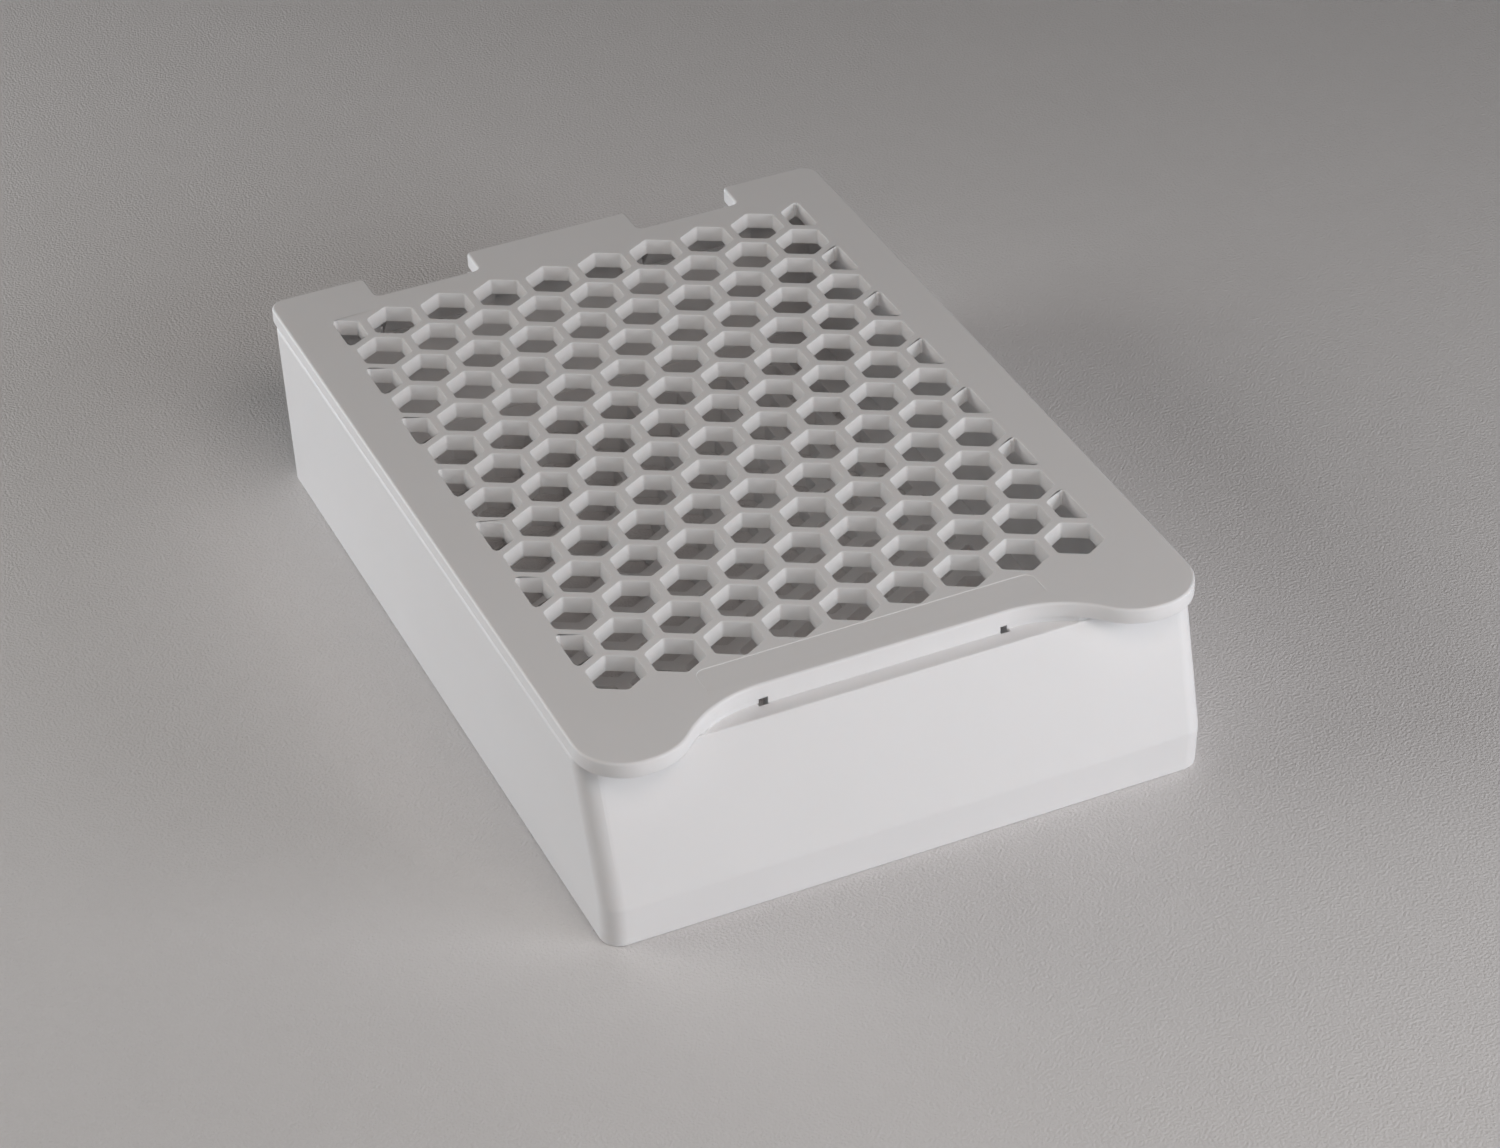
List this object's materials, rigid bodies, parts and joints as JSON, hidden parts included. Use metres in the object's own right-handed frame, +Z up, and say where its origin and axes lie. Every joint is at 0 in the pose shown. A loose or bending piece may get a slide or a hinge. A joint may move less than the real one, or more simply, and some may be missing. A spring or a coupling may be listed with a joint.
{
  "type": "tissue cassette",
  "caption": "Deep plastic tissue cassette: perforated tray with a slanted front panel, closed by a honeycomb lid on rear push-fit hinges, with front finger lobes and a latch tongue.",
  "frame": {"origin": "middle of the underside of the closed cassette", "axes": "+Y runs from the slanted front panel to the hinge, +Z is up, +X is to the right seen from the front"},
  "size_m": [0.0532, 0.0754, 0.0177],
  "materials": {
    "base": "fine matt moulded acetal, white",
    "lid": "fine matt moulded acetal, white"
  },
  "bodies": {
    "base": {"base": "base"},
    "lid": {"lid": "lid"}
  },
  "joints": [
    {"name": "lid_hinge", "type": "hinge", "parent": "base", "child": "lid", "pos_m": [0, 0.036, 0.0141], "axis": [-1, 0, 0], "range_deg": [0, 110]}
  ]
}
